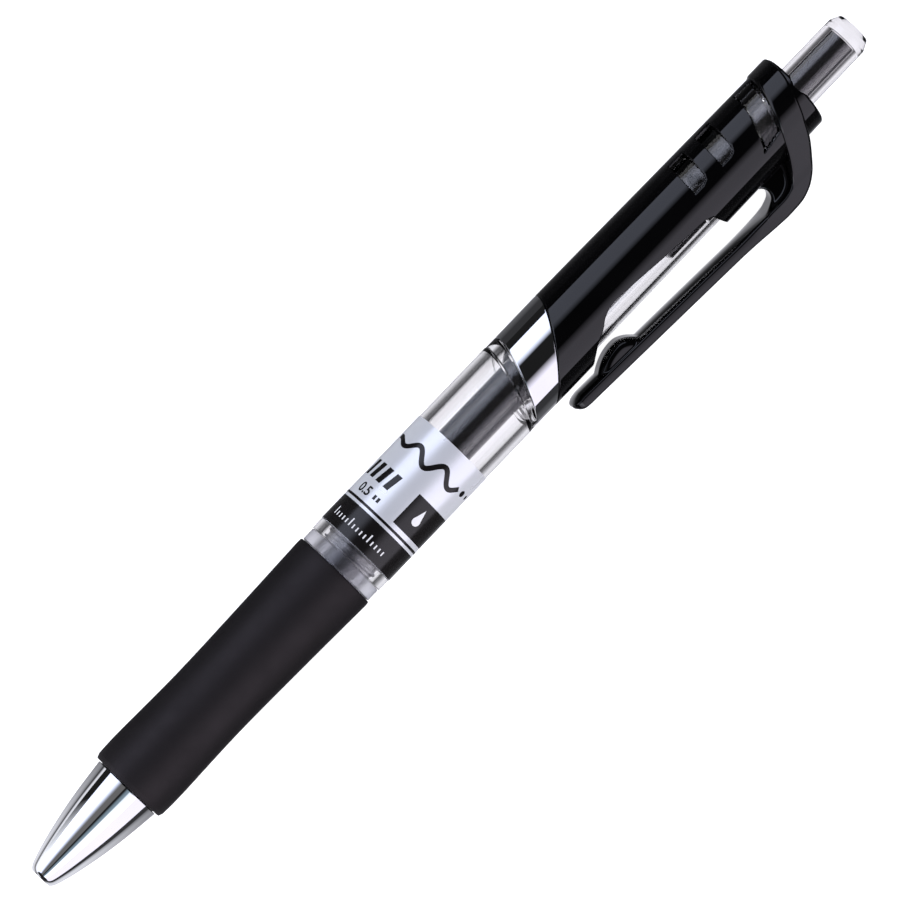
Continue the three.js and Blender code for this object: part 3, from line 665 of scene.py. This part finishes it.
def surface_of(field, low, high, step):
    """A quad mesh close to the field's zero."""
    axes = [np.arange(a, b, step) for a, b in zip(low, high)]
    grid = np.meshgrid(*axes, indexing="ij")
    value = field(*grid)
    inside = value < 0
    shape = np.array(value.shape) - 1
    corners = [(i, j, k) for i in (0, 1) for j in (0, 1) for k in (0, 1)]

    def at(array, c):
        return array[c[0]:c[0] + shape[0], c[1]:c[1] + shape[1], c[2]:c[2] + shape[2]]

    count = sum(at(inside, c).astype(np.int8) for c in corners)
    mixed = (count > 0) & (count < 8)
    cells = np.argwhere(mixed)
    total = np.zeros((len(cells), 3))
    hits = np.zeros(len(cells))
    for a in corners:
        for axis in range(3):
            if a[axis]:
                continue
            b = tuple(1 if n == axis else a[n] for n in range(3))
            va, vb = at(value, a)[mixed], at(value, b)[mixed]
            crossing = (va < 0) != (vb < 0)
            share = va[crossing] / (va[crossing] - vb[crossing])
            point = np.tile(np.array(a, float), (crossing.sum(), 1))
            point[:, axis] += share
            total[crossing] += point
            hits[crossing] += 1
    points = np.array(low) + (cells + total / hits[:, None]) * step
    number = np.full(shape, -1)
    number[mixed] = np.arange(len(cells))
    quads = []
    for axis in range(3):
        u, v = (axis + 1) % 3, (axis + 2) % 3
        ahead = [slice(None)] * 3
        behind = [slice(None)] * 3
        ahead[axis], behind[axis] = slice(1, None), slice(None, -1)
        flips = np.argwhere(inside[tuple(behind)] != inside[tuple(ahead)])
        ok = (flips[:, u] > 0) & (flips[:, v] > 0) & (flips[:, u] < shape[u]) & (flips[:, v] < shape[v])
        flips = flips[ok]
        ring = []
        for du, dv in ((-1, -1), (0, -1), (0, 0), (-1, 0)):
            cell = flips.copy()
            cell[:, u] += du
            cell[:, v] += dv
            ring.append(number[tuple(cell.T)])
        ring = np.stack(ring, axis=-1)
        outward = inside[tuple(flips.T)]
        quads.append(np.where(outward[:, None], ring, ring[:, ::-1]))
    return points, np.concatenate(quads)


def settled(field, points, step):
    """The points moved onto the field's zero, and the surface's normals there."""
    for _ in range(4):
        slope = gradient(field, points)
        length2 = np.maximum((slope**2).sum(axis=1), 0.2)
        move = slope * (field(*points.T) / length2)[:, None]
        points = points - np.clip(move, -step / 2, step / 2)
    normals = gradient(field, points)
    return points, normals / np.maximum(np.linalg.norm(normals, axis=1), 1e-9)[:, None]


def halved(points, quads):
    """Each quad split into four."""
    pairs = np.stack([quads, np.roll(quads, -1, axis=1)], axis=-1)
    edges, which = np.unique(np.sort(pairs.reshape(-1, 2), axis=1), axis=0, return_inverse=True)
    middles = which.reshape(quads.shape) + len(points)
    centres = np.arange(len(quads)) + len(points) + len(edges)
    finer = [np.stack([quads[:, i], middles[:, i], centres, middles[:, i - 1]], axis=-1) for i in range(4)]
    points = np.concatenate([points, points[edges].mean(axis=1), points[quads].mean(axis=1)])
    return points, np.concatenate(finer)


def moulded_piece(name, field, low, high, step, fine=False, **options):
    points, quads = surface_of(field, low, high, step)
    if fine:
        points, quads = halved(points, quads)
    points, normals = settled(field, points, step)
    flip = np.array((1, -1, 1))  # drop runs along -y, which also turns the faces over
    quads = quads[:, ::-1].tolist()
    return add_piece(name, points * flip, quads, BLACK_GLOSS, normals=normals * flip, **options)


FIELD_STEP = 0.15
moulded_piece(
    "upper_shell", upper_shell, (83.6, -5.9, -5.9), (132.2, 5.9, 5.9), FIELD_STEP,
    body="barrel", node="upper_barrel", slot="black_gloss",
)
clip_piece = moulded_piece(
    "strap_and_clip", strap_and_clip, (84.8, -5.8, -5.8), (132.4, 11.0, 5.8), FIELD_STEP,
    body=None, node="clip", slot="black_gloss", fine=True,
)
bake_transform(clip_piece)

# ---------------------------------------------------------------- push mechanism

TEETH = 8
TOOTH_HEIGHT = 0.8
LONG_FLANK = 0.8  # share of a tooth
ROTOR_REST = math.radians(9.3)
ROTOR_CROWN_X = 114
RIB_R = 3.55
ROD_CROWN_X = 115.9
ROD_R = 1.78
CAP_R = 2.84


def tooth(angle):
    """The height of a ring of saw teeth: a long flank and a short one."""
    phase = (angle / (2 * math.pi) * TEETH) % 1.0
    return TOOTH_HEIGHT * np.where(phase < LONG_FLANK, phase / LONG_FLANK, (1 - phase) / (1 - LONG_FLANK))


def rotor_shape(x, r, angle):
    """Cam teeth on the rear face, and four ribs that run in the guides."""
    turned = angle + ROTOR_REST
    x = x + 0 * angle
    crown = (np.abs(x - ROTOR_CROWN_X) < 0.1) & (r > 1.5)
    ribbed = (x > 112.55) & (x < ROTOR_CROWN_X + 0.05) & (r > 2.8)
    rib = np.abs(centred(turned / (math.pi / 2))) < 0.05
    return np.where(crown, x + tooth(turned), x), np.where(ribbed & rib, RIB_R, r)


turned_piece(
    "rotor",
    [(107.2, 0), (107.2, 2.75), (106.2, 2.75), (106.2, 3.0), (106.5, 3.4), (112.5, 3.4), (112.5, 3.0),
     (112.6, 3.0), (112.7, 3.0), (ROTOR_CROWN_X, 3.0), (ROTOR_CROWN_X, 1.6), (ROTOR_CROWN_X, 1.25),
     (118, 1.25), (118, 0)],
    BLACK_PLASTIC, "rotor", "rotor_cam", "black_plastic", segments=FINE_ROUND, warp=rotor_shape, radius=0.06,
)


def pusher_shape(x, r, angle):
    """Teeth on the front face that mate with the cam's."""
    crown = (np.abs(x - ROD_CROWN_X) < 0.1) & (r > 1.5)
    x = x + 0 * angle
    return np.where(crown, x - tooth(-angle), x), r


turned_piece(
    "button_rod",
    [(ROD_CROWN_X, 1.4), (ROD_CROWN_X, 1.6), (ROD_CROWN_X, 2.85), (122.4, 2.85), (122.4, RIB_R),
     (123.6, RIB_R), (123.6, ROD_R), (139.8, ROD_R), (139.8, 0)],
    BLACK_PLASTIC, "button", "button_core", "black_plastic",
    segments=FINE_ROUND, warp=pusher_shape, radius=0.1,
)
turned_piece(
    "button_cap",
    [(140.0, 0), (140.0, 1.85), (123.9, 1.85), (123.9, CAP_R), (128.3, CAP_R), (128.3, RIB_R), (129.5, RIB_R),
     (129.5, CAP_R), (140.72, CAP_R), (PEN_LENGTH, 2.185), (PEN_LENGTH, 0)],
    CLEAR_BUTTON, "button", "button_shell", "clear_plastic", radius=0.16,
)

# ---------------------------------------------------------------- refill

REFILL_R = 2.55
REFILL_BORE_R = 2.0
REFILL_FRONT, REFILL_REAR = 21.4, 107
turned_piece(
    "refill_wall",
    [(REFILL_FRONT, REFILL_BORE_R), (REFILL_FRONT, REFILL_R), (REFILL_REAR, REFILL_R),
     (REFILL_REAR, REFILL_BORE_R), (REFILL_FRONT, REFILL_BORE_R)],
    CLEAR_REFILL, "refill", "refill_tube", "refill_plastic", segments=SMALL_ROUND,
)
INK_R = REFILL_BORE_R + 0.01  # the ink wets the wall
turned_piece(
    "ink", [(26.2, 0), (26.2, INK_R), (88, INK_R), (87.6, 1.2), (87.5, 0)],
    INK, "refill", "ink_column", "gel_ink", segments=SMALL_ROUND,
)
turned_piece(
    "follower", [(88.0, 0), (88.1, INK_R), (91.1, INK_R), (90.6, 1.2), (90.5, 0)],
    GREASE, "refill", "ink_follower", "follower_grease", segments=SMALL_ROUND,
)
turned_piece(
    "point_adaptor",
    [(8, 0.9), (8, 1.35), (8.2, 1.5), (9.5, 1.5), (9.9, 1.9), (20, 1.9), (20, 2.5), (21.2, 2.5), (21.2, 1.95),
     (26, 1.95), (26, 0.5), (11.7, 0.5), (11.7, 0.9), (8, 0.9)],
    WHITE_PLASTIC, "refill", "tip_adaptor", "white_plastic", segments=SMALL_ROUND, radius=0.08,
)
turned_piece(
    "point_cone",
    [(1.95, 0.29), (1.95, 0.36), (4.7, 1.15), (7.8, 1.15), (7.8, 0.84), (11.4, 0.84), (11.4, 0.35), (3, 0.35),
     (3, 0.16), (2.4, 0.16), (2.32, 0.29), (1.95, 0.29)],
    POINT_METAL, "refill", "tip_cone", "point_metal", segments=64, radius=0.04,
)
BALL_X, BALL_R = 2.02, 0.25
BALL = [(BALL_X - BALL_R * math.cos(t), BALL_R * math.sin(t)) for t in np.linspace(0, math.pi, 25)]
turned_piece("ball", BALL, CARBIDE, "refill", "writing_ball", "ball_carbide", segments=48)

# ---------------------------------------------------------------- return spring

SPRING = {"x0": 5.9, "x1": 19.7, "radius": 2.28, "wire": 0.2, "turns": 8, "closed_pitch": 0.55}


def make_spring():
    """A compression spring whose first and last turns lie close together."""
    s = SPRING
    turn = np.linspace(0, s["turns"], s["turns"] * 40 + 1)
    open_pitch = (s["x1"] - s["x0"] - 2 * s["closed_pitch"]) / (s["turns"] - 2)
    x = s["x0"] + s["closed_pitch"] * (np.minimum(turn, 1) + np.maximum(turn - s["turns"] + 1, 0))
    x = x + open_pitch * np.clip(turn - 1, 0, s["turns"] - 2)
    angle = 2 * math.pi * turn
    line = np.stack([x, -s["radius"] * np.cos(angle), s["radius"] * np.sin(angle)], axis=-1)
    outward = np.stack([0 * x, -np.cos(angle), np.sin(angle)], axis=-1)
    along = np.gradient(line, axis=0)
    along /= np.linalg.norm(along, axis=1)[:, None]
    side = np.cross(along, outward)
    sides = 12
    t = np.linspace(0, 2 * math.pi, sides, endpoint=False)
    ring = outward[:, None] * np.cos(t)[None, :, None] + side[:, None] * np.sin(t)[None, :, None]
    verts = (line[:, None] + s["wire"] * ring).reshape(-1, 3)
    n = len(turn)
    faces = [
        (i * sides + j, i * sides + (j + 1) % sides, (i + 1) * sides + (j + 1) % sides, (i + 1) * sides + j)
        for i in range(n - 1) for j in range(sides)
    ]
    faces += [tuple(range(sides))[::-1], tuple((n - 1) * sides + j for j in range(sides))]
    coil = add_piece("spring_coil", verts, faces, STEEL, "barrel", "return_spring", "spring_steel")
    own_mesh(coil)


make_spring()

# ---------------------------------------------------------------- label print

VIEW_ANGLE = math.radians(107)  # round the axis, where the label's print is centred
PRINT_STRIP = 0.2
DIGIT_SHARE = 0.72  # of the font's size that a digit is high


def label_mesh(name, shapes, look, lift):
    """Flat shapes of (arc, x) in mm, cut into strips and wrapped round the label."""
    bm = bmesh.new()
    for shape in shapes:
        bm.faces.new([bm.verts.new((u, v, 0)) for u, v in shape])
    u0 = min(v.co.x for v in bm.verts)
    u1 = max(v.co.x for v in bm.verts)
    for u in np.arange(u0 + PRINT_STRIP, u1, PRINT_STRIP):
        geometry = bm.verts[:] + bm.edges[:] + bm.faces[:]
        bmesh.ops.bisect_plane(bm, geom=geometry, dist=1e-6, plane_co=(u, 0, 0), plane_no=(1, 0, 0))
    r = LABEL_R + lift
    verts = []
    bm.verts.index_update()
    for v in bm.verts:
        a = VIEW_ANGLE - v.co.x / LABEL_R
        verts.append((v.co.y, -r * math.cos(a), r * math.sin(a)))
    faces = [[v.index for v in f.verts] for f in bm.faces]
    bm.free()
    points = np.array(verts)
    normals = points * (0, 1, 1) / r
    return add_piece(name, verts, faces, look, "barrel", slot="label_film", normals=normals)


def bar(u0, u1, x0, x1, slant=0.0):
    return [(u0, x0), (u1, x0), (u1 + slant, x1), (u0 + slant, x1)]


def ribbon(points, width):
    """A band of constant width along a curve, as quads."""
    p = np.array(points, float)
    d = np.gradient(p, axis=0)
    d /= np.linalg.norm(d, axis=1)[:, None]
    side = np.stack([-d[:, 1], d[:, 0]], axis=1) * width / 2
    a, b = p + side, p - side
    return [[a[i], b[i], b[i + 1], a[i + 1]] for i in range(len(p) - 1)]


def dot(u, x, radius, sides=28):
    t = np.linspace(0, 2 * math.pi, sides, endpoint=False)
    return [(u + radius * math.cos(a), x + radius * math.sin(a)) for a in t]


def digits(text, u, x, height):
    """The outlines of a short number, as flat faces."""
    curve = bpy.data.curves.new("digits", "FONT")
    curve.body = text
    curve.size = height / DIGIT_SHARE
    curve.offset = 0.03 * height
    holder = bpy.data.objects.new("digits", curve)
    bpy.context.scene.collection.objects.link(holder)
    mesh = holder.to_mesh()
    places = [(u + v.co.x, x + v.co.y) for v in mesh.vertices]
    shapes = [[places[i] for i in f.vertices] for f in mesh.polygons]
    holder.to_mesh_clear()
    bpy.data.objects.remove(holder)
    bpy.data.curves.remove(curve)
    return shapes


def wave_line():
    """A wave whose swing dies down towards its ends."""
    points = []
    for u in np.linspace(-7.6, 4.4, 110):
        swing = 0.95 * (0.6 + 0.4 * math.cos(u * 0.35))
        points.append((u, 68.1 + swing * math.sin(u * 1.5)))
    return points


def drop_shape(u, x, radius, height):
    """A drop: a point behind a round front."""
    turn = np.linspace(-2.2, 2.2, 24)
    return [(u, x + height), *[(u + radius * math.sin(a), x - radius * math.cos(a)) for a in turn]]


def make_print():
    half_turn = math.pi * LABEL_R
    whole = (-half_turn, half_turn - 0.002)
    black = [
        bar(*whole, 54.72, 58.62),
        bar(*whole, 59.0, 59.34),
        bar(0.92, 8.3, 59.95, 64.6),
        *ribbon(wave_line(), 0.66),
        dot(5.5, 68.2, 0.44),
        dot(6.9, 68.2, 0.3),
        *[bar(-7.6 + 1.5 * i, -6.75 + 1.5 * i, 62.2, 64.55, 0.4) for i in range(4)],
        *digits("0.5", -5.9, 60.05, 1.3),
        *[bar(-3.0 + 0.62 * i, -2.62 + 0.62 * i, 60.25, 60.9) for i in range(2)],
    ]
    ticks = [bar(-6 + 0.62 * i, -5.82 + 0.62 * i, 56.0, 57.1 if i % 5 == 0 else 56.6) for i in range(15)]
    label_mesh("label_black", black, PRINT_BLACK, 0.006)
    label_mesh("label_white", [*ticks, drop_shape(3.1, 61.9, 0.6, 1.8)], PRINT_WHITE, 0.014)


make_print()

# ---------------------------------------------------------------- camera

IMAGE_TILT = math.radians(46.26)  # of the pen's axis in the picture
VIEW_WIDTH = 0.1085  # metres across the picture at the pen
CAMERA_HEIGHT = 0.9
CAMERA_FOOT_X = 23.7
CAMERA_LEAN = math.radians(3.6)  # towards the clip's side
AIM_X = 71.2


def make_camera():
    target = on_desk(AIM_X, 0)
    foot = on_desk(CAMERA_FOOT_X, 0)
    away = Vector((0, -math.sin(CAMERA_LEAN), math.cos(CAMERA_LEAN)))
    place = foot + away * CAMERA_HEIGHT
    ahead = (target - place).normalized()
    along = Vector((1, 0, 0))
    along = (along - ahead * along.dot(ahead)).normalized()
    across = ahead.cross(along)
    if across.y > 0:
        across.negate()
    right = math.cos(IMAGE_TILT) * along + math.sin(IMAGE_TILT) * across
    up = math.sin(IMAGE_TILT) * along - math.cos(IMAGE_TILT) * across
    data = bpy.data.cameras.new("camera")
    data.sensor_width = 36
    data.lens = 36 * (target - place).length / VIEW_WIDTH
    data.clip_start, data.clip_end = 0.05, 20
    camera = bpy.data.objects.new("camera", data)
    camera.matrix_world = Matrix.Translation(place) @ Matrix((right, up, -ahead)).transposed().to_4x4()
    bpy.context.scene.collection.objects.link(camera)
    bpy.context.scene.camera = camera
    return away


VIEW_SIDE = make_camera()

# ---------------------------------------------------------------- light and floor

SOFTBOX_DISTANCE = 0.45
NOSE_FROM = -0.9  # the nose panels reach far ahead of the pen
COOL_WHITE = (0.9, 0.92, 1.0)


def softbox(name, start, end, radiance, tint, soft, x0=-0.75, x1=0.4, tail=0.02):
    """A long panel between two angles from the view round the pen's axis, towards +y.

    It brightens from its edge nearest the view over a share of its width, and fades at its rear end.
    """
    middle, half = math.radians((start + end) / 2), math.radians(abs(end - start) / 2)
    back = (Matrix.Rotation(-middle, 3, "X") @ VIEW_SIDE).normalized()
    width = 2 * SOFTBOX_DISTANCE * math.tan(half)
    data = bpy.data.lights.new(name, "AREA")
    data.shape = "RECTANGLE"
    data.size, data.size_y = x1 - x0, width
    data.energy = radiance * math.pi * (x1 - x0) * width
    data.color = tint
    data.use_nodes = True
    tree = data.node_tree
    place = tree.nodes.new("ShaderNodeNewGeometry")
    split = tree.nodes.new("ShaderNodeSeparateXYZ")
    tree.links.new(place.outputs["Parametric"], split.inputs["Vector"])
    inner, outer = (0.0, soft) if end > start else (1.0, 1 - soft)
    fade = remap(tree, split.outputs["Y"], 0.0, 1.0, inner, outer)
    rear = remap(tree, split.outputs["X"], 1.0, 0.0, 1 - tail, 1.0)
    tree.links.new(combine(tree, "MULTIPLY", fade, rear), tree.nodes["Emission"].inputs["Strength"])
    lamp = bpy.data.objects.new(name, data)
    side = Vector((1, 0, 0))
    up = back.cross(side)
    spot = on_desk(AIM_X, 0) + back * SOFTBOX_DISTANCE
    spot.x = (x0 + x1) / 2
    lamp.matrix_world = Matrix.Translation(spot) @ Matrix((side, up, back)).transposed().to_4x4()
    bpy.context.scene.collection.objects.link(lamp)


softbox("far_panel", 19, 70, 1.55, (0.76, 0.81, 1.0), 0.3)
softbox("clip_panel", -20, -88, 1.2, (0.9, 0.86, 1.0), 0.32)
softbox("far_nose_panel", 66, 94, 1.2, COOL_WHITE, 0.1, NOSE_FROM, -0.16, 0.15)
softbox("inner_nose_panel", 2, 21, 0.13, (1.0, 0.98, 1.0), 0.1, NOSE_FROM, -0.1)
softbox("teal_nose_panel", -2, -24, 0.32, (0.6, 0.82, 1.0), 0.3, NOSE_FROM, -0.1)
softbox("clip_nose_panel", -14, -44, 1.2, COOL_WHITE, 0.15, NOSE_FROM, -0.1, 0.1)

MIRRORED_FLOOR = [(5, 1.0), (6.3, 0.5), (8.5, 0.13), (20, 0.04)]  # brightness by length of ray, in mm
MIRROR_REACH = 40.0  # mm
FLOOR_HALF_WIDTH = 4.0
FLOOR_GAP = 0.00002  # under the pen, so that the two don't share a plane
FLOOR_GLOW = 0.92


def floor_in_mirrors(tree, length):
    """The floor as glossy surfaces show it: like a sheet that ends near the pen, but not at its nose."""
    share = remap(tree, length, 0.0, 1.0, 0.0, MIRROR_REACH / 1000)
    ramp = tree.nodes.new("ShaderNodeValToRGB")
    stops = ramp.color_ramp.elements
    while len(stops) < len(MIRRORED_FLOOR):
        stops.new(0.5)
    for stop, (mm, level) in zip(stops, MIRRORED_FLOOR):
        stop.position = mm / MIRROR_REACH
        stop.color = (level, level, level, 1)
    tree.links.new(share, ramp.inputs["Fac"])
    coords = tree.nodes.new("ShaderNodeTexCoord")
    split = tree.nodes.new("ShaderNodeSeparateXYZ")
    tree.links.new(coords.outputs["Object"], split.inputs["Vector"])
    nose = remap(tree, split.outputs["X"], 0.85, 0.0, -0.07, -0.05)
    far_side = remap(tree, split.outputs["Y"], 0.0, 1.0, 0.0, 0.02)
    beyond = combine(tree, "MULTIPLY", far_side, remap(tree, length, 0.0, 1.0, 0.03, 0.06))
    sheet = combine(tree, "MAXIMUM", beyond, remap(tree, length, 1.0, 0.0, 0.012, 0.03))
    return combine(tree, "MAXIMUM", ramp.outputs["Color"], combine(tree, "MULTIPLY", nose, sheet))


def floor_material():
    """Pale matt card, a little lit from below."""
    mat, tree, output = node_material("pale_card")
    matt = tree.nodes.new("ShaderNodeBsdfDiffuse")
    tree.links.new(
        two_tones(tree, noise(tree, 40), (0.83, 0.83, 0.83), (0.86, 0.86, 0.86)), matt.inputs["Color"]
    )
    lift = tree.nodes.new("ShaderNodeEmission")
    lift.inputs["Strength"].default_value = FLOOR_GLOW
    both = tree.nodes.new("ShaderNodeAddShader")
    tree.links.new(matt.outputs["BSDF"], both.inputs[0])
    tree.links.new(lift.outputs["Emission"], both.inputs[1])
    path = tree.nodes.new("ShaderNodeLightPath")
    mirrored = tree.nodes.new("ShaderNodeEmission")
    mirrored.inputs["Color"].default_value = (0.93, 0.93, 1.0, 1)
    tree.links.new(floor_in_mirrors(tree, path.outputs["Ray Length"]), mirrored.inputs["Strength"])
    mix = tree.nodes.new("ShaderNodeMixShader")
    tree.links.new(path.outputs["Is Glossy Ray"], mix.inputs["Fac"])
    tree.links.new(both.outputs["Shader"], mix.inputs[1])
    tree.links.new(mirrored.outputs["Emission"], mix.inputs[2])
    tree.links.new(mix.outputs["Shader"], output.inputs["Surface"])
    mat.cycles.emission_sampling = "NONE"
    return mat


def make_floor():
    mesh = bpy.data.meshes.new("floor")
    reach, z = FLOOR_HALF_WIDTH, CAD_BOX[0].z - FLOOR_GAP
    corners = [(-reach, -reach, z), (reach, -reach, z), (reach, reach, z), (-reach, reach, z)]
    mesh.from_pydata(corners, [], [(0, 1, 2, 3)])
    floor = bpy.data.objects.new("floor", mesh)
    mesh.materials.append(floor_material())
    bpy.context.scene.collection.objects.link(floor)


make_floor()


def background(tree, strength, colour=(0.98, 0.98, 1.0)):
    node = tree.nodes.new("ShaderNodeBackground")
    node.inputs["Color"].default_value = (*colour, 1)
    node.inputs["Strength"].default_value = strength
    return node


def mixed(tree, share, first, second):
    node = tree.nodes.new("ShaderNodeMixShader")
    tree.links.new(share, node.inputs["Fac"])
    tree.links.new(first.outputs[0], node.inputs[1])
    tree.links.new(second.outputs[0], node.inputs[2])
    return node


def make_world():
    """A soft room: pale behind the floor, dim overhead in mirrors and through the plastic."""
    world = bpy.data.worlds.new("studio")
    world.use_nodes = True
    tree = world.node_tree
    tree.nodes.clear()
    output = tree.nodes.new("ShaderNodeOutputWorld")
    pale, soft, dim = background(tree, 0.93), background(tree, 0.42), background(tree, 0.013)
    overhead = background(tree, 0.1)
    coords = tree.nodes.new("ShaderNodeTexCoord")
    split = tree.nodes.new("ShaderNodeSeparateXYZ")
    tree.links.new(coords.outputs["Generated"], split.inputs["Vector"])
    low = remap(tree, split.outputs["Z"], 1.0, 0.0, 0.3, 0.6)
    path = tree.nodes.new("ShaderNodeLightPath")
    through = mixed(tree, low, overhead, pale)
    shown = mixed(tree, path.outputs["Is Transmission Ray"], dim, through)
    shown = mixed(tree, path.outputs["Is Diffuse Ray"], shown, soft)
    shown = mixed(tree, path.outputs["Is Camera Ray"], shown, pale)
    tree.links.new(shown.outputs["Shader"], output.inputs["Surface"])
    bpy.context.scene.world = world


make_world()
bpy.context.scene.view_settings.view_transform = "Standard"
